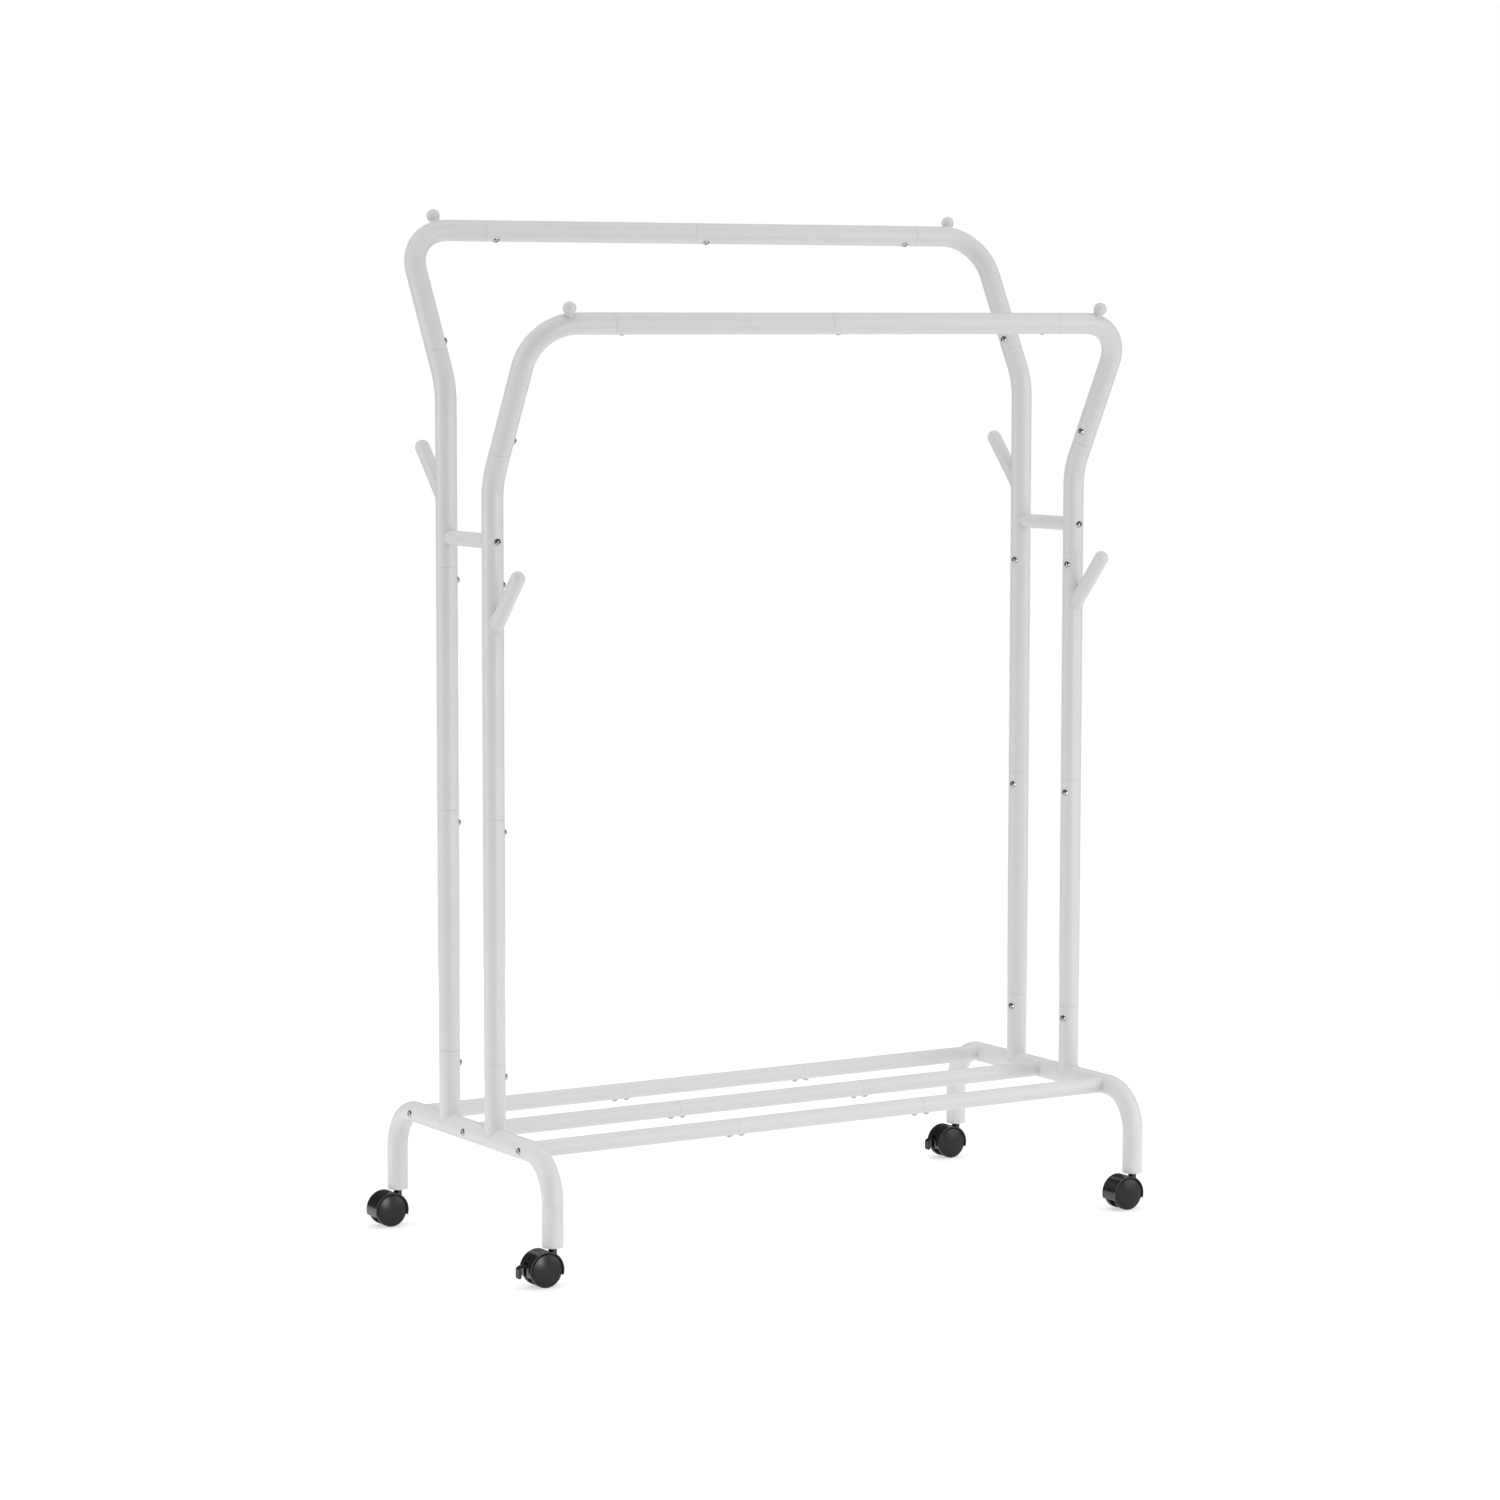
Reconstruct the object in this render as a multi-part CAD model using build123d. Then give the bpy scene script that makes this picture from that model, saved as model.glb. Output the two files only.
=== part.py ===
from build123d import *
import os
from math import cos, radians, sin, sqrt, tan

# Rolling clothes rack with two hanging rails, all sizes in millimetres.
# X runs along the rails (left is -X), the front faces -Y, Z is up.
# The origin is on the floor, midway between the four legs.

# ---- driving dimensions: frame ----
FRAME_X = 524.0          # left and right frame planes, from the middle
POST_Y = 72.0            # post axes, from the middle
LEG_Y = 246.0            # leg axes, from the middle
RAIL_Y = 198.0           # rail axes, from the middle
LEG_END_Z = 58.0         # lower end of the leg tubes
SHELF_Z = 186.0          # axis height of the base tubes and shelf rods
FRONT_RAIL_Z = 1391.0
REAR_RAIL_Z = 1530.0
LEAN_ANGLE = 28.5        # of the bent posts, away from upright
SEAM_PITCH = 365.0       # visible length of each straight post piece
FIRST_SEAM_Z = 299.0     # top of the stubs that are welded on the base tubes
CROSSBAR_Z = 1073.0

# ---- tubes ----
TUBE_R = 16.0
TUBE_WALL = 1.2
FIT_GAP = 0.05           # radial gap of a swaged end in its socket
SWAGE_LENGTH = 40.0
SHOULDER = 4.0           # length behind a seam where the bore is still narrow
STUB_R = 15.9            # post stubs, a hair thinner than the base tube they are welded on
LEG_BEND = 65.0
LEAN_BEND = 100.0
CORNER_BEND = 70.0
LEAN_SEAM = 53.0         # from the apex of the lean bend to the corner's seam
CORNER_SEAM_X = 394.0    # rail seams, from the middle
ROD_R = 12.5             # shelf rods
ROD_WALL = 1.0
ROD_Y = 173.0            # outer shelf rods, from the middle
ROD_SEAM_X = 168.0
SLEEVE_LENGTH = 60.0
SLEEVE_WALL = 1.2
SEAM_CHAMFER = 0.5       # broken outer edge of the tubes, on both sides of a seam
SMALL_R = 11.0           # crossbars and coat hooks
SMALL_WALL = 1.2
HOOK_ANGLE = 42.0        # away from upright
HOOK_LENGTH = 113.6      # from the post's axis to the centre of the end cap's dome
FRONT_HOOK_Z = 938.0     # where the hook's axis meets the post's axis
REAR_HOOK_Z = 1120.6
CAP_PLUG_LENGTH = 12.0
PLUG_LENGTH = 15.0       # threaded plugs in the ends of rods and crossbars

# ---- fasteners and knobs ----
SCREW_R = 3.0
CLEAR_R = 3.1
HEAD_R = 5.25
HEAD_HEIGHT = 3.3
SOCKET_FLATS = 4.0
SOCKET_DEPTH = 2.0
SHORT_SHANK = 8.0
LONG_SHANK = 45.0
SCREW_FROM_SEAM = 20.0
SCREW_TURN = 18.0        # of the post screws, from the inner side towards the front
ROD_SCREW_FROM_SEAM = 10.5
KNOB_R = 10.0
KNOB_REACH = 26.5        # from the tube's axis to the knob's centre
KNOB_ANGLE = 10.4        # round the corner bend, from its rail end
KNOB_NECK_R = 6.5
KNOB_NECK_SINK = 1.5     # of the neck's foot below the tube's surface
KNOB_STUD_DEPTH = 6.0    # below the tube's surface

# ---- casters ----
WHEEL_R = 25.0
WHEEL_INNER_Y = 6.8
WHEEL_OUTER_Y = 16.5
DOME_HEIGHT = 2.8
WHEEL_EDGE = 2.0
WHEEL_WALL = 4.0         # of the tread, round the hollow inner side
WHEEL_FACE = 3.0         # thickness of the outer face
TRAIL = 18.0             # axle behind the swivel axis
AXLE_R = 3.0
AXLE_HALF = 14.0
AXLE_END_GAP = 0.5       # from the axle's end to the bottom of the wheel's bore
RUN_GAP = 0.05           # radial gap of the bores that turn
HOOD_R = 28.2
HOOD_WALL = 2.0
HOOD_HALF = 16.5
HOOD_FRONT_END = -17.0   # angle of the hood's front edge round the axle
HOOD_REAR_END = 197.0
WEB_HALF = 6.2
HUB_R = 7.0
NECK_R = 6.4
NECK_TOP = 54.3
COLLAR_GAP = 0.2         # between the neck and the stem's collar
STEM_R = 4.0
STEM_BOTTOM = 33.0
STEM_TOP = 82.0
STEM_FLOOR = 1.0         # room under the stem in its bore
NECK_FLOOR = 4.0         # of the neck below that bore
COLLAR_R = 6.0
PLUG_FLANGE_R = 15.6
PLUG_BOTTOM = 56.0
LEG_PLUG_TOP = 86.0
SLOT_HALF = 4.4          # slot in the hood for the brake lever
SLOT_INNER_R = 12.0
SLOT_TOP_ANGLE = 153.0
SLOT_OPEN_ANGLE = 202.0  # past the hood's rear edge, so that the slot is open below
VENT_HALF = 1.2          # narrow slot above the lever's slot
VENT_INNER_R = 24.0
VENT_ANGLES = (125.0, 143.0)
PIVOT_R = 1.5
PIVOT_RADIUS = 19.0      # lever pivot, from the axle
PIVOT_ANGLE = 185.0
LEVER_HALF = 4.0
LEVER_BOSS_R = 4.0
LEVER_THICKNESS = 4.0
LEVER_EDGE = 1.5         # rounding of the lever's outline
LEVER_BEND_X = -43.5     # where the arm turns level
LEVER_TOP_Z = 34.6
PADDLE_X = -58.6         # outer face of the paddle
PADDLE_CUT = 4.5         # cut-off outer corner where the arm turns down
PADDLE_BOTTOM_Z = 15.2
PADDLE_HALF = 6.0
PADDLE_CORNER = 4.0

BORE_R = TUBE_R - TUBE_WALL
SWAGE_R = BORE_R - FIT_GAP
SWAGE_BORE_R = SWAGE_R - TUBE_WALL
LEAN_REACH = (RAIL_Y - POST_Y) / sin(radians(LEAN_ANGLE))
LEAN_RISE = (RAIL_Y - POST_Y) / tan(radians(LEAN_ANGLE))
SEAMS_Z = [FIRST_SEAM_Z + SEAM_PITCH * step for step in range(3)]

LEFT_RIGHT = {"left": -1, "right": 1}
FRONT_REAR = {"front": -1, "rear": 1}
RAIL_Z = {"front": FRONT_RAIL_Z, "rear": REAR_RAIL_Z}
HOOK_Z = {"front": FRONT_HOOK_Z, "rear": REAR_HOOK_Z}
BRAKED = ("front_left", "rear_right")

parts = {}
joint_screws = []
long_screws = []
end_plugs = []


# ---- basic shapes ----
def bar(points, radius, bend=None):
    """A round bar through the points, with its corners bent to one radius."""
    if bend is None:
        start = Vector(*points[0])
        length = (Vector(*points[1]) - start).length
        plane = Plane(origin=start, z_dir=Vector(*points[1]) - start)
        return plane * Cylinder(radius, length, align=(Align.CENTER, Align.CENTER, Align.MIN))
    path = FilletPolyline(*[tuple(point) for point in points], radius=bend)
    return sweep(Plane(origin=path @ 0, z_dir=path % 0) * Circle(radius), path=path)


def break_edges(solid, radius, ends):
    """Chamfer the outer edges of a round bar at the given end points."""
    edges = []
    for edge in solid.edges().filter_by(GeomType.CIRCLE):
        if abs(edge.radius - radius) > FIT_GAP:
            continue
        if any((edge.arc_center - Vector(*end)).length < FIT_GAP for end in ends):
            edges.append(edge)
    return chamfer(edges, SEAM_CHAMFER)


def tube(points, bend=None, swage_start=False, swage_end=False):
    """A main tube whose seams are at its first and last point."""
    outer = break_edges(bar(points, TUBE_R, bend), TUBE_R, (points[0], points[-1]))
    bore = bar(points, BORE_R, bend)
    ends = []
    if swage_start:
        ends.append((Vector(*points[0]), Vector(*points[0]) - Vector(*points[1])))
    if swage_end:
        ends.append((Vector(*points[-1]), Vector(*points[-1]) - Vector(*points[-2])))
    for seam, outward in ends:
        outward = outward.normalized()
        tip = seam + outward * SWAGE_LENGTH
        shoulder = seam - outward * SHOULDER
        outer += bar((seam - outward, tip), SWAGE_R)
        bore -= bar((seam, shoulder), TUBE_R)
        bore += bar((shoulder, tip), SWAGE_BORE_R)
    return outer - bore


def button_screw(tube_radius, shank):
    """A button-head screw: local Z points out of the tube, local X along it."""
    dome_r = (HEAD_R ** 2 + HEAD_HEIGHT ** 2) / (2 * HEAD_HEIGHT)
    dome = Pos(0, 0, HEAD_HEIGHT - dome_r) * Sphere(dome_r)
    skirt_depth = tube_radius - sqrt(tube_radius ** 2 - HEAD_R ** 2)
    keep = Cylinder(HEAD_R, HEAD_HEIGHT, align=(Align.CENTER, Align.CENTER, Align.MIN))
    skirt = Cylinder(HEAD_R, skirt_depth, align=(Align.CENTER, Align.CENTER, Align.MAX))
    wall = Pos(0, 0, -tube_radius) * Rot(0, 90, 0) * Cylinder(tube_radius, 4 * HEAD_R)
    head = (dome & keep) + (skirt - wall)
    hexagon = RegularPolygon(SOCKET_FLATS / 2, 6, major_radius=False)
    socket = Pos(0, 0, HEAD_HEIGHT - SOCKET_DEPTH) * extrude(hexagon, SOCKET_DEPTH)
    stem = Cylinder(SCREW_R, shank, align=(Align.CENTER, Align.CENTER, Align.MAX))
    return head - socket + stem


def drill(name, seat, depth, radius):
    """Cut one screw hole in a part, from just outside the screw's seat inwards."""
    tool = Pos(0, 0, 1) * Cylinder(radius, depth + 1, align=(Align.CENTER, Align.CENTER, Align.MAX))
    parts[name] -= seat * tool


def short_screw(seat, tube_radius, socket_name, inner_name):
    """Screw a swaged end or a sleeve to the tube around it."""
    joint_screws.append(seat * button_screw(tube_radius, SHORT_SHANK))
    drill(socket_name, seat, SHORT_SHANK, CLEAR_R)
    drill(inner_name, seat, SHORT_SHANK, SCREW_R)


def lean_direction(side):
    return Vector(0, side * sin(radians(LEAN_ANGLE)), cos(radians(LEAN_ANGLE)))


def turned(inward, front):
    """The way a post screw points out of its tube: inwards, turned towards the front."""
    return inward * cos(radians(SCREW_TURN)) + front * sin(radians(SCREW_TURN))


def lean_apex(x, side, rail_z):
    return Vector(x, side * POST_Y, rail_z - LEAN_RISE)


# ---- base frames ----
def base_arch(x, radius):
    """The bent base tube with its two legs, as a solid bar."""
    points = [(x, -LEG_Y, LEG_END_Z), (x, -LEG_Y, SHELF_Z), (x, LEG_Y, SHELF_Z), (x, LEG_Y, LEG_END_Z)]
    return bar(points, radius, LEG_BEND)


def base_frame(x):
    """A bent base tube with its two legs, and the two post stubs welded on it."""
    frame = base_arch(x, TUBE_R) - base_arch(x, BORE_R)
    base_core = bar([(x, -LEG_Y, SHELF_Z), (x, LEG_Y, SHELF_Z)], TUBE_R - TUBE_WALL / 2)
    for side in FRONT_REAR.values():
        ends = [(x, side * POST_Y, SHELF_Z), (x, side * POST_Y, FIRST_SEAM_Z)]
        stub = break_edges(bar(ends, STUB_R), STUB_R, ends[1:])
        frame += stub - bar(ends, BORE_R) - base_core
    return frame


# ---- posts, corners and rails ----
def upper_post(x, side, rail_z):
    """A bent post: upright, then leaning out to the corner's seam."""
    apex = lean_apex(x, side, rail_z)
    points = [(x, side * POST_Y, SEAMS_Z[2]), apex, apex + lean_direction(side) * LEAN_SEAM]
    return tube(points, LEAN_BEND, swage_start=True, swage_end=True)


def rail_corner(hand, side, rail_z):
    """The piece that carries on the lean and turns into the rail."""
    apex = lean_apex(hand * FRAME_X, side, rail_z)
    turn = apex + lean_direction(side) * LEAN_REACH
    points = [apex + lean_direction(side) * LEAN_SEAM, turn, (hand * CORNER_SEAM_X, turn.Y, turn.Z)]
    return tube(points, CORNER_BEND, swage_end=True)


def knob(hand, side, rail_z):
    """A ball on a short neck, standing off the outside of the corner bend."""
    turn = Vector(hand * FRAME_X, side * RAIL_Y, rail_z)
    lean = lean_direction(side)
    bend_centre = turn - Vector(hand, 0, 0) * CORNER_BEND - lean * CORNER_BEND
    outward = lean * cos(radians(KNOB_ANGLE)) + Vector(hand, 0, 0) * sin(radians(KNOB_ANGLE))
    ball_centre = bend_centre + outward * (CORNER_BEND + KNOB_REACH)
    surface = bend_centre + outward * (CORNER_BEND + TUBE_R)
    ball = Pos(*ball_centre) * Sphere(KNOB_R)
    neck = bar((surface - outward * KNOB_NECK_SINK, ball_centre), KNOB_NECK_R)
    arc_start = turn - lean * CORNER_BEND
    rail_start = turn - Vector(hand, 0, 0) * CORNER_BEND
    corner_core = bar([arc_start - lean, turn, rail_start - Vector(hand, 0, 0)], TUBE_R, CORNER_BEND)
    stud_end = surface - outward * KNOB_STUD_DEPTH
    stud = bar((stud_end, ball_centre), SCREW_R)
    hole = bar((stud_end, surface + outward), SCREW_R)
    return ball + (neck - corner_core) + stud, hole


def build_sides():
    """Base frames, posts, corners and the screws of their sockets."""
    for hand_name, hand in LEFT_RIGHT.items():
        x = hand * FRAME_X
        base_name = f"{hand_name}_base_frame"
        parts[base_name] = base_frame(x)
        for side_name, side in FRONT_REAR.items():
            corner = f"{side_name}_{hand_name}"
            y = side * POST_Y
            rail_z = RAIL_Z[side_name]
            names = [base_name, f"{corner}_lower_post", f"{corner}_middle_post", f"{corner}_upper_post"]
            for name, low, high in zip(names[1:3], SEAMS_Z[:2], SEAMS_Z[1:]):
                parts[name] = tube([(x, y, low), (x, y, high)], swage_start=True)
            parts[names[3]] = upper_post(x, side, rail_z)
            parts[f"{corner}_rail_corner"] = rail_corner(hand, side, rail_z)
            inward = Vector(-hand, 0, 0)
            outward = turned(inward, Vector(0, -1, 0))
            for seam_z, below, above in zip(SEAMS_Z, names[:3], names[1:]):
                place = Vector(x, y, seam_z - SCREW_FROM_SEAM) + outward * TUBE_R
                short_screw(Plane(place, x_dir=(0, 0, 1), z_dir=outward), TUBE_R, below, above)
            lean = lean_direction(side)
            outward = turned(inward, Vector(0, -lean.Z, lean.Y))
            place = lean_apex(x, side, rail_z) + lean * (LEAN_SEAM + SCREW_FROM_SEAM) + outward * TUBE_R
            seat = Plane(place, x_dir=lean, z_dir=outward)
            short_screw(seat, TUBE_R, f"{corner}_rail_corner", names[3])


def build_rails():
    """Two halves to each rail, cut to one length, with screws in the plane of the leaning posts."""
    middle_seam = -SWAGE_LENGTH / 2
    for side_name, side in FRONT_REAR.items():
        y = side * RAIL_Y
        z = RAIL_Z[side_name]
        left = f"{side_name}_rail_left_half"
        right = f"{side_name}_rail_right_half"
        parts[left] = tube([(-CORNER_SEAM_X, y, z), (middle_seam, y, z)], swage_end=True)
        parts[right] = tube([(middle_seam, y, z), (CORNER_SEAM_X, y, z)])
        screw_x = CORNER_SEAM_X - SCREW_FROM_SEAM
        joints = [
            (-screw_x, left, f"{side_name}_left_rail_corner"),
            (middle_seam + SCREW_FROM_SEAM, right, left),
            (screw_x, right, f"{side_name}_right_rail_corner"),
        ]
        for x, socket_name, inner_name in joints:
            outward = lean_direction(side) * -1
            seat = Plane(Vector(x, y, z) + outward * TUBE_R, x_dir=(1, 0, 0), z_dir=outward)
            short_screw(seat, TUBE_R, socket_name, inner_name)


def build_knobs():
    knobs = []
    for hand_name, hand in LEFT_RIGHT.items():
        for side_name, side in FRONT_REAR.items():
            ball, hole = knob(hand, side, RAIL_Z[side_name])
            knobs.append(ball)
            parts[f"{side_name}_{hand_name}_rail_corner"] -= hole
    parts["rail_knobs"] = Compound(children=[Part(item.wrapped) for item in knobs])


# ---- crossbars ----
def build_crossbars():
    """Coped tubes between the front and rear posts, bolted through both posts."""
    for hand_name, hand in LEFT_RIGHT.items():
        x = hand * FRAME_X
        name = f"{hand_name}_crossbar"
        ends = [(x, -POST_Y, CROSSBAR_Z), (x, POST_Y, CROSSBAR_Z)]
        crossbar = bar(ends, SMALL_R) - bar(ends, SMALL_R - SMALL_WALL)
        for side_name, side in FRONT_REAR.items():
            y = side * POST_Y
            post_core = bar([(x, y, CROSSBAR_Z - POST_Y), (x, y, CROSSBAR_Z + POST_Y)], TUBE_R)
            crossbar -= post_core
            face = y - side * TUBE_R
            plug_ends = [(x, y, CROSSBAR_Z), (x, face - side * PLUG_LENGTH, CROSSBAR_Z)]
            plug = bar(plug_ends, SMALL_R - SMALL_WALL) - bar(plug_ends, SCREW_R)
            end_plugs.append(plug - post_core)
            seat = Plane((x, y + side * TUBE_R, CROSSBAR_Z), x_dir=(0, 0, 1), z_dir=(0, side, 0))
            long_screws.append(seat * button_screw(TUBE_R, LONG_SHANK))
            drill(f"{side_name}_{hand_name}_upper_post", seat, LONG_SHANK, SCREW_R)
        parts[name] = crossbar


# ---- shelf rods ----
def build_shelf():
    """Three rods of three pieces, joined by inner sleeves, coped and bolted to the bases."""
    spans = {
        "left": (-FRAME_X, -ROD_SEAM_X),
        "middle": (-ROD_SEAM_X, ROD_SEAM_X),
        "right": (ROD_SEAM_X, FRAME_X),
    }
    base_cores = {"left": base_arch(-FRAME_X, TUBE_R), "right": base_arch(FRAME_X, TUBE_R)}
    sleeves = []
    for row, y in (("front", -ROD_Y), ("centre", 0.0), ("rear", ROD_Y)):
        for span, (low, high) in spans.items():
            ends = [(low, y, SHELF_Z), (high, y, SHELF_Z)]
            rod = break_edges(bar(ends, ROD_R), ROD_R, ends) - bar(ends, ROD_R - ROD_WALL)
            parts[f"{row}_shelf_rod_{span}"] = rod - base_cores[span] if span in base_cores else rod
        for hand_name, hand in LEFT_RIGHT.items():
            seam = hand * ROD_SEAM_X
            half = SLEEVE_LENGTH / 2
            ends = [(seam - half, y, SHELF_Z), (seam + half, y, SHELF_Z)]
            sleeve_r = ROD_R - ROD_WALL
            sleeve = bar(ends, sleeve_r) - bar(ends, sleeve_r - SLEEVE_WALL)
            pieces = [(-1, "left" if hand < 0 else "middle"), (1, "middle" if hand < 0 else "right")]
            for step, span in pieces:
                place = (seam + step * ROD_SCREW_FROM_SEAM, y, SHELF_Z - ROD_R)
                seat = Plane(place, x_dir=(1, 0, 0), z_dir=(0, 0, -1))
                joint_screws.append(seat * button_screw(ROD_R, SHORT_SHANK))
                drill(f"{row}_shelf_rod_{span}", seat, SHORT_SHANK, CLEAR_R)
                tool = Cylinder(SCREW_R, SHORT_SHANK, align=(Align.CENTER, Align.CENTER, Align.MAX))
                sleeve -= seat * tool
            sleeves.append(sleeve)
            plug_x = FRAME_X - TUBE_R - PLUG_LENGTH
            plug_ends = [(hand * FRAME_X, y, SHELF_Z), (hand * plug_x, y, SHELF_Z)]
            plug = bar(plug_ends, sleeve_r) - bar(plug_ends, SCREW_R)
            end_plugs.append(plug - base_cores[hand_name])
            place = (hand * (FRAME_X + TUBE_R), y, SHELF_Z)
            seat = Plane(place, x_dir=(0, 1, 0), z_dir=(hand, 0, 0))
            long_screws.append(seat * button_screw(TUBE_R, LONG_SHANK))
            drill(f"{hand_name}_base_frame", seat, LONG_SHANK, SCREW_R)
    parts["shelf_rod_sleeves"] = Compound(children=[Part(item.wrapped) for item in sleeves])


# ---- coat hooks ----
def build_hooks():
    """Slanting tubes welded to the front and rear posts, each with a domed end cap."""
    hooks = []
    caps = []
    for hand in LEFT_RIGHT.values():
        for side_name, side in FRONT_REAR.items():
            x = hand * FRAME_X
            root = Vector(x, side * POST_Y, HOOK_Z[side_name])
            along = Vector(0, side * sin(radians(HOOK_ANGLE)), cos(radians(HOOK_ANGLE)))
            tip = root + along * HOOK_LENGTH
            reach = Vector(0, 0, HOOK_LENGTH)
            post_core = bar((root - reach, root + reach), TUBE_R)
            hooks.append(bar((root, tip), SMALL_R) - bar((root, tip), SMALL_R - SMALL_WALL) - post_core)
            dome = Pos(*tip) * Sphere(SMALL_R)
            below = bar((tip, tip - along * 2 * SMALL_R), 2 * SMALL_R)
            plug = bar((tip, tip - along * CAP_PLUG_LENGTH), SMALL_R - SMALL_WALL)
            caps.append((dome - below) + plug)
    parts["coat_hooks"] = Compound(children=[Part(item.wrapped) for item in hooks])
    parts["hook_caps"] = Compound(children=[Part(item.wrapped) for item in caps])


# ---- casters, in their own frame: swivel axis at x = y = 0, trailing to -X ----
def disc(radius, low_y, high_y):
    """A disc round the wheel axle, from one y to another."""
    start = (-TRAIL, low_y, WHEEL_R)
    return bar([start, (-TRAIL, high_y, WHEEL_R)], radius)


def polar(radius, angle):
    """A point round the axle: x and z."""
    return -TRAIL + radius * cos(radians(angle)), WHEEL_R + radius * sin(radians(angle))


def slab(outline, half):
    """A plate with the x-z outline, from -half to half in y."""
    face = make_face(Polyline(*[(x, 0, z) for x, z in outline], close=True))
    return extrude(face, amount=half, dir=(0, 1, 0), both=True)


def caster_housing(braked):
    """Hood over both wheels, the web between them, and the neck for the stem."""
    far = 3 * HOOD_R
    below = [(-TRAIL, WHEEL_R), polar(far, HOOD_FRONT_END), polar(far, -45), polar(far, -90)]
    below += [polar(far, -135), polar(far, HOOD_REAR_END)]
    cut = slab(below, far)
    hood = disc(HOOD_R, -HOOD_HALF, HOOD_HALF) - disc(HOOD_R - HOOD_WALL, -far, far) - cut
    web = disc(HOOD_R - HOOD_WALL / 2, -WEB_HALF, WEB_HALF) - cut
    hub = disc(HUB_R, -WEB_HALF, WEB_HALF)
    stem_bore_z = STEM_BOTTOM - STEM_FLOOR
    neck = bar([(0, 0, stem_bore_z - NECK_FLOOR), (0, 0, NECK_TOP)], NECK_R)
    housing = hood + web + hub + neck
    if braked:
        slot = [polar(SLOT_INNER_R, SLOT_TOP_ANGLE), polar(far, SLOT_TOP_ANGLE), polar(far, 180)]
        slot += [polar(far, SLOT_OPEN_ANGLE), polar(SLOT_INNER_R, SLOT_OPEN_ANGLE)]
        housing -= slab(slot, SLOT_HALF)
        vent = [polar(radius, angle) for radius in (VENT_INNER_R, far) for angle in VENT_ANGLES]
        housing -= slab([vent[0], vent[2], vent[3], vent[1]], VENT_HALF)
        pivot_x, pivot_z = polar(PIVOT_RADIUS, PIVOT_ANGLE)
        pivot_ends = [(pivot_x, -WEB_HALF, pivot_z), (pivot_x, WEB_HALF, pivot_z)]
        housing -= bar(pivot_ends, PIVOT_R + RUN_GAP)
    housing -= bar([(0, 0, stem_bore_z), (0, 0, NECK_TOP)], STEM_R + RUN_GAP)
    return housing - disc(AXLE_R, -WEB_HALF, WEB_HALF)


def wheel(side):
    """One wheel: a domed outer face, a hollow inner face and a blind bore."""
    body = disc(WHEEL_R, side * WHEEL_INNER_Y, side * WHEEL_OUTER_Y)
    body = fillet(body.edges().filter_by(GeomType.CIRCLE), WHEEL_EDGE)
    rim = WHEEL_R - WHEEL_EDGE
    dome_r = (rim ** 2 + DOME_HEIGHT ** 2) / (2 * DOME_HEIGHT)
    centre_y = side * (WHEEL_OUTER_Y + DOME_HEIGHT - dome_r)
    top_y = side * (WHEEL_OUTER_Y + DOME_HEIGHT)
    dome = (Pos(-TRAIL, centre_y, WHEEL_R) * Sphere(dome_r)) & disc(rim, side * WHEEL_OUTER_Y, top_y)
    floor_y = side * (WHEEL_OUTER_Y - WHEEL_FACE)
    hollow = disc(WHEEL_R - WHEEL_WALL, side * WHEEL_INNER_Y, floor_y) - disc(HUB_R, 0, floor_y)
    bore = disc(AXLE_R + RUN_GAP, side * WHEEL_INNER_Y, side * (AXLE_HALF + AXLE_END_GAP))
    return body + dome - hollow - bore


def brake_lever():
    """A lever on its own pivot pin: an arm out of the hood, turning down into a wider paddle."""
    pivot_x, pivot_z = polar(PIVOT_RADIUS, PIVOT_ANGLE)
    boss = bar([(pivot_x, -LEVER_HALF, pivot_z), (pivot_x, LEVER_HALF, pivot_z)], LEVER_BOSS_R)
    pin = bar([(pivot_x, -WEB_HALF, pivot_z), (pivot_x, WEB_HALF, pivot_z)], PIVOT_R)
    under_z = LEVER_TOP_Z - LEVER_THICKNESS
    inner_x = PADDLE_X + LEVER_THICKNESS
    arm = [(pivot_x + LEVER_BOSS_R / 2, pivot_z), (LEVER_BEND_X + LEVER_THICKNESS / 2, LEVER_TOP_Z)]
    arm += [(PADDLE_X + PADDLE_CUT, LEVER_TOP_Z), (PADDLE_X, LEVER_TOP_Z - PADDLE_CUT)]
    arm += [(PADDLE_X, PADDLE_BOTTOM_Z), (inner_x, PADDLE_BOTTOM_Z), (inner_x, under_z)]
    arm += [(LEVER_BEND_X, under_z), (pivot_x - LEVER_BOSS_R / 2, pivot_z)]
    outline = FilletPolyline(*[(x, 0, z) for x, z in arm], radius=LEVER_EDGE, close=True)
    profile = make_face(outline)
    narrow = extrude(profile, amount=LEVER_HALF, dir=(0, 1, 0), both=True)
    wide = extrude(profile, amount=PADDLE_HALF, dir=(0, 1, 0), both=True)
    height = LEVER_TOP_Z - PADDLE_BOTTOM_Z
    tab = RectangleRounded(2 * PADDLE_HALF, height, PADDLE_CORNER)
    tab_plane = Plane((PADDLE_X, 0, PADDLE_BOTTOM_Z + height / 2), x_dir=(0, 1, 0), z_dir=(1, 0, 0))
    paddle = wide & extrude(tab_plane * tab, LEVER_THICKNESS)
    return boss + pin + narrow + paddle


def leg_plug():
    flange = bar([(0, 0, PLUG_BOTTOM), (0, 0, LEG_END_Z)], PLUG_FLANGE_R)
    body = bar([(0, 0, LEG_END_Z), (0, 0, LEG_PLUG_TOP)], BORE_R)
    return flange + body - bar([(0, 0, PLUG_BOTTOM), (0, 0, LEG_PLUG_TOP)], STEM_R)


def caster_stem():
    collar = bar([(0, 0, NECK_TOP + COLLAR_GAP), (0, 0, PLUG_BOTTOM)], COLLAR_R)
    return bar([(0, 0, STEM_BOTTOM), (0, 0, STEM_TOP)], STEM_R) + collar


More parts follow.
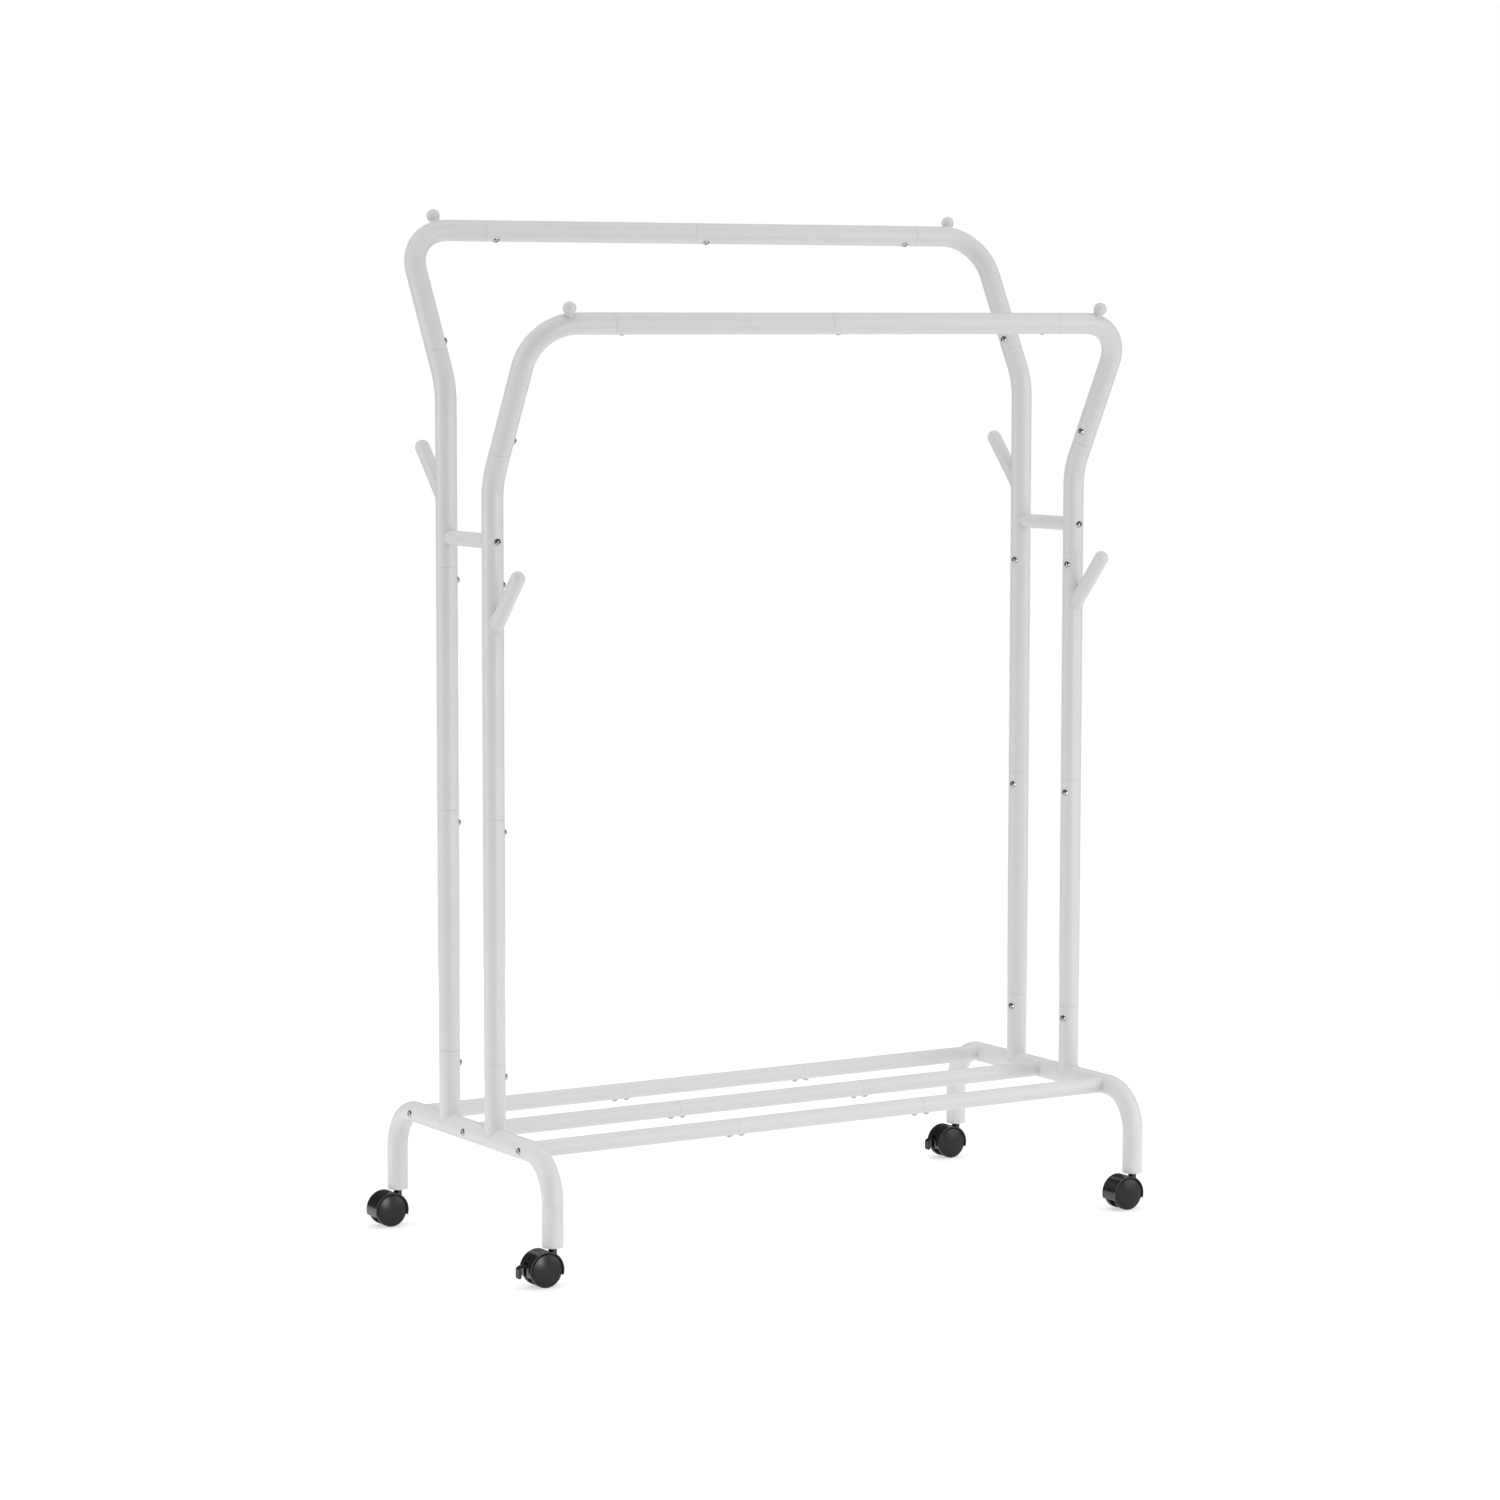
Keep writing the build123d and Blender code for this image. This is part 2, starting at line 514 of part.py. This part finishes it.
def build_casters():
    """Four swivel casters with their stems, and the plugs in the legs that hold them."""
    plugs = []
    stems = []
    for hand_name, hand in LEFT_RIGHT.items():
        for side_name, side in FRONT_REAR.items():
            corner = f"{side_name}_{hand_name}"
            place = Pos(hand * FRAME_X, side * LEG_Y, 0)
            parts[f"{corner}_caster_housing"] = place * caster_housing(corner in BRAKED)
            parts[f"{corner}_caster_axle"] = place * disc(AXLE_R, -AXLE_HALF, AXLE_HALF)
            parts[f"{corner}_wheel_front"] = place * wheel(-1)
            parts[f"{corner}_wheel_rear"] = place * wheel(1)
            if corner in BRAKED:
                parts[f"{corner}_brake_lever"] = place * brake_lever()
            plugs.append(place * leg_plug())
            stems.append(place * caster_stem())
    parts["leg_plugs"] = Compound(children=[Part(item.wrapped) for item in plugs])
    parts["caster_stems"] = Compound(children=[Part(item.wrapped) for item in stems])


build_sides()
build_rails()
build_knobs()
build_crossbars()
build_shelf()
build_hooks()
build_casters()
parts["joint_screws"] = Compound(children=[Part(item.wrapped) for item in joint_screws])
parts["long_screws"] = Compound(children=[Part(item.wrapped) for item in long_screws])
parts["threaded_end_plugs"] = Compound(children=[Part(item.wrapped) for item in end_plugs])

os.makedirs("parts", exist_ok=True)
for name, shape in parts.items():
    export_step(shape, f"parts/{name}.step")
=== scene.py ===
from math import cos, radians, sin, sqrt, tau

import bmesh
import bpy
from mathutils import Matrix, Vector


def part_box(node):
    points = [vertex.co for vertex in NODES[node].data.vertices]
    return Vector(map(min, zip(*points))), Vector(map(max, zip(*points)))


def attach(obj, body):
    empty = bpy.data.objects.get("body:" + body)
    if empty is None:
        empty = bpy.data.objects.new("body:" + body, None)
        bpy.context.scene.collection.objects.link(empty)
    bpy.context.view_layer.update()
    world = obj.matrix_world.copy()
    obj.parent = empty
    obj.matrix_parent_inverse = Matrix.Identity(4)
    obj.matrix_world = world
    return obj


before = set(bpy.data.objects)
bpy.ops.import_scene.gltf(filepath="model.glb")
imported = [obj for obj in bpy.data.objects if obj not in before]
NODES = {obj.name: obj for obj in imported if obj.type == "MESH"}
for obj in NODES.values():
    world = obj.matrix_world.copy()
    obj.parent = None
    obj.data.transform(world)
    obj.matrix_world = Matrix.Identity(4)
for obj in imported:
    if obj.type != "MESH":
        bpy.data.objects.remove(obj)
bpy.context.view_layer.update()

NOISE_LOW, NOISE_HIGH = 0.3, 0.7  # the range that most of a noise texture's values fall in
LEVER_VOXEL = 0.0004
LEVER_SMOOTHING = 14

HOOK_LEAN = radians(42)  # the hooks are one CAD node, so their angle and roots are repeated here
HOOK_ROOTS = {"front": 0.938, "rear": 1.1206}
HOOK_RADIUS = 0.011
STUB_GAP = 0.0001  # the stubs are a hair thinner than the base tube
STUB_BEAD_RADIUS = 0.0017
HOOK_BEAD_RADIUS = 0.0012
BEAD_STEPS = 160
BEAD_SIDES = 12
BEAD_WIDTH = 1.3  # a bead is this much wider than high
BEAD_RIPPLES = ((0.03, 26, 0), (0.05, 7, 1))  # size, count round the seam, phase

FLOOR_RADIUS = 2.6
FLOOR_Z = -0.0005
FLOOR_GLOW = 0.54
SKY_LIGHT = 0.60
SKY_IN_REFLECTIONS = 0.10
SKY_IN_VIEW = 1.0
TOP_LIGHT_POWER = 1.2
TOP_LIGHT_ANGLE = radians(80)

# ---------------------------------------------------------------- materials


class Nodes:
    """A small helper that adds shader nodes to one material and links them."""

    def __init__(self, name):
        self.material = bpy.data.materials.new(name)
        self.material.use_nodes = True
        self.tree = self.material.node_tree
        self.shader = self.tree.nodes["Principled BSDF"]
        self.where = self.add("ShaderNodeTexCoord").outputs["Object"]

    def add(self, kind, **settings):
        node = self.tree.nodes.new(kind)
        for key, value in settings.items():
            setattr(node, key, value)
        return node

    def join(self, source, target):
        self.tree.links.new(source, target)

    def noise(self, scale, detail, roughness=0.5):
        node = self.add("ShaderNodeTexNoise")
        node.inputs["Scale"].default_value = scale
        node.inputs["Detail"].default_value = detail
        node.inputs["Roughness"].default_value = roughness
        self.join(self.where, node.inputs["Vector"])
        return node.outputs["Fac"]

    def span(self, source, low, high, start=0.0, end=1.0):
        """The source, read from start to end, as a number from low to high."""
        node = self.add("ShaderNodeMapRange")
        for key, value in (("From Min", start), ("From Max", end), ("To Min", low), ("To Max", high)):
            node.inputs[key].default_value = value
        self.join(source, node.inputs["Value"])
        return node.outputs["Result"]

    def clouds(self, scale, detail, low=0.0, high=1.0):
        """Soft noise that fills the range from low to high."""
        return self.span(self.noise(scale, detail), low, high, NOISE_LOW, NOISE_HIGH)

    def flecks(self, scale, detail, start, end):
        """Small scattered spots, where rough noise rises from start to end."""
        return self.span(self.noise(scale, detail, roughness=0.7), 0, 1, start, end)

    def blend(self, factor, first, second):
        """A colour between the first and the second; each is a plain colour or a socket."""
        node = self.add("ShaderNodeMix", data_type="RGBA")
        for socket, value in ((node.inputs[6], first), (node.inputs[7], second)):
            if isinstance(value, bpy.types.NodeSocket):
                self.join(value, socket)
            else:
                socket.default_value = (*value, 1.0)
        self.join(factor, node.inputs["Factor"])
        return node.outputs[2]

    def maths(self, operation, first, second):
        node = self.add("ShaderNodeMath", operation=operation)
        self.join(first, node.inputs[0])
        self.join(second, node.inputs[1])
        return node.outputs[0]

    def vector_maths(self, operation, first, second=None):
        node = self.add("ShaderNodeVectorMath", operation=operation)
        self.join(first, node.inputs[0])
        if second is not None:
            node.inputs[1].default_value = second
        return node

    def bump(self, height, distance, under=None):
        node = self.add("ShaderNodeBump")
        node.inputs["Strength"].default_value = 1.0
        node.inputs["Distance"].default_value = distance
        self.join(height, node.inputs["Height"])
        if under is not None:
            self.join(under, node.inputs["Normal"])
        return node.outputs["Normal"]

    def set(self, **values):
        """Sets or links the shader's own sockets, with _ for the spaces in their names."""
        for key, value in values.items():
            socket = self.shader.inputs[key.replace("_", " ")]
            if isinstance(value, bpy.types.NodeSocket):
                self.join(value, socket)
            elif isinstance(value, tuple):
                socket.default_value = (*value, 1.0)
            else:
                socket.default_value = value


def grey(level):
    return (level, level, level)


def painted(name, light, dark, rough):
    """Powder coat: faint clouds, orange peel, and small scuffs that are duller and darker."""
    m = Nodes(name)
    colour = m.blend(m.clouds(14, 4), grey(light), grey(dark))
    scuffs = m.flecks(38, 6, 0.64, 0.74)
    m.set(Base_Color=m.blend(scuffs, colour, grey(dark * 0.97)))
    sheen = m.clouds(60, 3, rough - 0.04, rough + 0.05)
    m.set(Roughness=m.maths("ADD", sheen, m.span(scuffs, 0.0, 0.12)))
    peel = m.bump(m.noise(420, 2), distance=0.00006)
    m.set(Normal=m.bump(m.noise(1800, 2), distance=0.00001, under=peel))
    m.set(Specular_IOR_Level=0.4)
    return m.material


def metal(name, light, dark, rough):
    """Plated steel with a cloudy zinc finish."""
    m = Nodes(name)
    m.set(Base_Color=m.blend(m.clouds(160, 4), grey(light), grey(dark)), Metallic=1.0)
    m.set(Roughness=m.clouds(420, 3, rough - 0.07, rough + 0.1))
    m.set(Normal=m.bump(m.noise(2600, 3), distance=0.000012))
    return m.material


def plastic(name, light, dark, rough, grain, specular=0.4, coat=0.0):
    """Moulded plastic: a fine grain, slow colour clouds and a few dusty, duller flecks."""
    m = Nodes(name)
    colour = m.blend(m.clouds(30, 3), grey(light), grey(dark))
    dust = m.flecks(210, 5, 0.66, 0.78)
    m.set(Base_Color=m.blend(dust, colour, grey(light * 1.25)))
    sheen = m.clouds(90, 2, rough - 0.02, rough + 0.03)
    m.set(Roughness=m.maths("ADD", sheen, m.span(dust, 0.0, 0.08)))
    m.set(Normal=m.bump(m.noise(2200, 2), distance=grain))
    m.set(Specular_IOR_Level=specular, Coat_Weight=coat, Coat_Roughness=0.17)
    return m.material


def tyre(name, light, dark, rough):
    """Wheel plastic, worn duller and greyer round the tread than on the face."""
    m = Nodes(name)
    place = m.add("ShaderNodeTexCoord").outputs["Generated"]
    from_middle = m.vector_maths("SUBTRACT", place, (0.5, 0.5, 0.5)).outputs["Vector"]
    from_axle = m.vector_maths("MULTIPLY", from_middle, (1.0, 0.0, 1.0)).outputs["Vector"]
    reach = m.vector_maths("LENGTH", from_axle).outputs["Value"]
    tread = m.maths("MULTIPLY", m.span(reach, 0, 1, 0.47, 0.495), m.noise(260, 4))
    face = m.blend(m.noise(40, 3), grey(light), grey(dark))
    m.set(Base_Color=m.blend(tread, face, grey(light * 1.8)))
    sheen = m.span(m.noise(90, 2), rough - 0.02, rough + 0.03)
    m.set(Roughness=m.maths("ADD", sheen, m.span(tread, 0.0, 0.25)))
    m.set(Normal=m.bump(m.noise(1900, 2), distance=0.000008))
    m.set(Specular_IOR_Level=0.3)
    return m.material


MATERIALS = {
    "white_steel": painted("white_powder_coat", 0.635, 0.62, 0.38),
    "knob_white": painted("knob_powder_coat", 0.635, 0.62, 0.34),
    "white_plastic": plastic("white_cap_plastic", 0.635, 0.62, 0.40, grain=0.00001),
    "zinc_screw": metal("bright_zinc", 0.52, 0.38, 0.22),
    "plated_steel": metal("plated_steel", 0.62, 0.52, 0.30),
    "galvanised_steel": metal("galvanised_steel", 0.55, 0.45, 0.42),
    "caster_plastic": plastic(
        "gloss_black_plastic", 0.005, 0.0035, 0.24, grain=0.000004, specular=0.35, coat=0.6
    ),
    "wheel_plastic": tyre("wheel_black_plastic", 0.009, 0.006, 0.26),
    "lever_plastic": plastic("lever_black_plastic", 0.010, 0.007, 0.30, grain=0.00001),
}
for node in NODES.values():
    for place in node.material_slots:
        place.material = MATERIALS[place.material.name.split(".")[0]]


def soften(node):
    """Rounds all edges of a small moulded part."""
    remesh = node.modifiers.new("remesh", "REMESH")
    remesh.mode = "VOXEL"
    remesh.voxel_size = LEVER_VOXEL
    remesh.use_smooth_shade = True
    smooth = node.modifiers.new("smooth", "SMOOTH")
    smooth.factor = 0.5
    smooth.iterations = LEVER_SMOOTHING


for name, node in NODES.items():
    if name.endswith("_brake_lever"):
        soften(node)

# ---------------------------------------------------------------- weld beads


def middle_of(node):
    low, high = (Vector(corner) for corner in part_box(node))
    return (low + high) / 2


def stub_seam(x, y, z, base, turn):
    """A point of the seam where an upright stub meets the base tube, and the way out of the corner."""
    stub = base - STUB_GAP
    across = stub * cos(turn)
    rise = sqrt(base ** 2 - across ** 2)
    outward = Vector((cos(turn), sin(turn), 0)) + Vector((across, 0, rise)) / base
    return Vector((x + across, y + stub * sin(turn), z + rise)), outward.normalized()


def hook_seam(x, y, z, side, post, turn):
    """A point of the seam where a slanting hook meets its post, and the way out of the corner."""
    along = Vector((0, side * sin(HOOK_LEAN), cos(HOOK_LEAN)))
    below = Vector((0, side * cos(HOOK_LEAN), -sin(HOOK_LEAN)))
    radial = Vector((cos(turn), 0, 0)) + below * sin(turn)
    reach = sqrt(post ** 2 - (HOOK_RADIUS * cos(turn)) ** 2)
    length = (reach - HOOK_RADIUS * sin(turn) * cos(HOOK_LEAN)) / sin(HOOK_LEAN)
    step = along * length + radial * HOOK_RADIUS
    outward = radial + Vector((step.x, step.y, 0)) / post
    return Vector((x, y, z)) + step, outward.normalized()


def add_bead(shape, bead_radius, seam):
    """One closed, slightly rippled bead along a seam."""
    rings = []
    for step in range(BEAD_STEPS):
        turn = tau * step / BEAD_STEPS
        point, outward = seam(turn)
        ahead = seam(turn + tau / BEAD_STEPS)[0] - seam(turn - tau / BEAD_STEPS)[0]
        sideways = ahead.normalized().cross(outward).normalized()
        ripple = sum(size * sin(count * turn + phase) for size, count, phase in BEAD_RIPPLES)
        radius = bead_radius * (1 + ripple)
        ring = []
        for spoke in range(BEAD_SIDES):
            angle = tau * spoke / BEAD_SIDES
            offset = outward * cos(angle) + sideways * sin(angle) * BEAD_WIDTH
            ring.append(shape.verts.new(point + offset * radius))
        rings.append(ring)
    for ring, following in zip(rings, rings[1:] + rings[:1]):
        for spoke in range(BEAD_SIDES):
            after = (spoke + 1) % BEAD_SIDES
            shape.faces.new((ring[spoke], following[spoke], following[after], ring[after]))


def make_weld_beads():
    """The beads round the four post stubs and the four coat hooks, in one piece."""
    shape = bmesh.new()
    base_z = middle_of("centre_shelf_rod_middle").z
    low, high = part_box("left_base_frame")
    base = (high[0] - low[0]) / 2
    for hand in ("left", "right"):
        for side_name, side in (("front", -1), ("rear", 1)):
            post = middle_of(f"{side_name}_{hand}_lower_post")
            root_z = HOOK_ROOTS[side_name]

            def on_stub(turn):
                return stub_seam(post.x, post.y, base_z, base, turn)

            def on_hook(turn):
                return hook_seam(post.x, post.y, root_z, side, base, turn)

            add_bead(shape, STUB_BEAD_RADIUS, on_stub)
            add_bead(shape, HOOK_BEAD_RADIUS, on_hook)
    bmesh.ops.recalc_face_normals(shape, faces=shape.faces)
    mesh = bpy.data.meshes.new("weld_beads")
    shape.to_mesh(mesh)
    shape.free()
    mesh.polygons.foreach_set("use_smooth", [True] * len(mesh.polygons))
    beads = bpy.data.objects.new("weld_beads", mesh)
    mesh.materials.append(MATERIALS["white_steel"])
    bpy.context.scene.collection.objects.link(beads)
    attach(beads, "frame")


# ---------------------------------------------------------------- studio


def floor_material():
    m = Nodes("pale_floor")
    m.set(Base_Color=m.blend(m.noise(1.3, 3), grey(0.51), grey(0.49)), Roughness=0.9)
    m.set(Specular_IOR_Level=0.1, Emission_Color=grey(1.0), Emission_Strength=FLOOR_GLOW)
    return m.material


def make_floor():
    mesh = bpy.data.meshes.new("studio_floor")
    shape = bmesh.new()
    bmesh.ops.create_circle(shape, cap_ends=True, segments=128, radius=FLOOR_RADIUS)
    shape.to_mesh(mesh)
    shape.free()
    floor = bpy.data.objects.new("studio_floor", mesh)
    floor.location.z = FLOOR_Z
    mesh.materials.append(floor_material())
    bpy.context.scene.collection.objects.link(floor)


def make_world():
    """White behind the object, soft light from all round, and darker in glossy reflections."""
    world = bpy.data.worlds.new("studio")
    world.use_nodes = True
    bpy.context.scene.world = world
    tree = world.node_tree
    path = tree.nodes.new("ShaderNodeLightPath")
    tree.nodes["Background"].inputs["Color"].default_value = (1, 1, 1, 1)
    tree.nodes["Background"].inputs["Strength"].default_value = SKY_LIGHT
    result = tree.nodes["Background"].outputs[0]
    for kind, level in (("Is Glossy Ray", SKY_IN_REFLECTIONS), ("Is Camera Ray", SKY_IN_VIEW)):
        background = tree.nodes.new("ShaderNodeBackground")
        background.inputs["Color"].default_value = (level, level, level, 1)
        mix = tree.nodes.new("ShaderNodeMixShader")
        tree.links.new(path.outputs[kind], mix.inputs[0])
        tree.links.new(result, mix.inputs[1])
        tree.links.new(background.outputs[0], mix.inputs[2])
        result = mix.outputs[0]
    tree.links.new(result, tree.nodes["World Output"].inputs["Surface"])


def make_softbox(name, azimuth, elevation, distance, size, power, target, shows="all"):
    """A rectangular light round the object; it may show in "reflections" or "diffuse" light only."""
    light = bpy.data.lights.new(name, "AREA")
    light.shape = "RECTANGLE"
    light.size, light.size_y = size
    light.energy = power
    lamp = bpy.data.objects.new(name, light)
    a, e = radians(azimuth), radians(elevation)
    back = Vector((sin(a) * cos(e), -cos(a) * cos(e), sin(e)))
    lamp.location = Vector(target) + back * distance
    lamp.rotation_euler = (-back).to_track_quat("-Z", "Y").to_euler()
    lamp.visible_diffuse = shows != "reflections"
    lamp.visible_glossy = shows != "diffuse"
    bpy.context.scene.collection.objects.link(lamp)


def make_top_light():
    light = bpy.data.lights.new("top_light", "SUN")
    light.energy = TOP_LIGHT_POWER
    light.angle = TOP_LIGHT_ANGLE
    lamp = bpy.data.objects.new("top_light", light)
    lamp.visible_glossy = False
    bpy.context.scene.collection.objects.link(lamp)


def make_camera():
    camera = bpy.data.objects.new("camera", bpy.data.cameras.new("camera"))
    camera.data.lens = 103.27
    camera.location = (-3.5193, -5.6216, 1.4109)
    camera.rotation_euler = (radians(84.1607), radians(-0.0865), radians(-31.7775))
    bpy.context.scene.collection.objects.link(camera)
    bpy.context.scene.camera = camera


make_weld_beads()
make_floor()
make_world()
MIDDLE = (0, 0, 0.75)
FRONT_CASTER = (-0.5, -0.2, 0.1)
make_softbox("left_softbox", -105, 12, 5.0, (2.5, 3.5), 66, MIDDLE)
make_softbox("right_softbox", 42, 12, 5.0, (2.5, 3.5), 84, MIDDLE)
make_softbox("rear_softbox", 148, 25, 5.0, (3.0, 3.0), 50, MIDDLE, shows="diffuse")
make_softbox("front_card", 12, 8, 4.0, (0.5, 1.8), 60, FRONT_CASTER, shows="reflections")
make_top_light()
make_camera()
bpy.context.scene.view_settings.view_transform = "Standard"
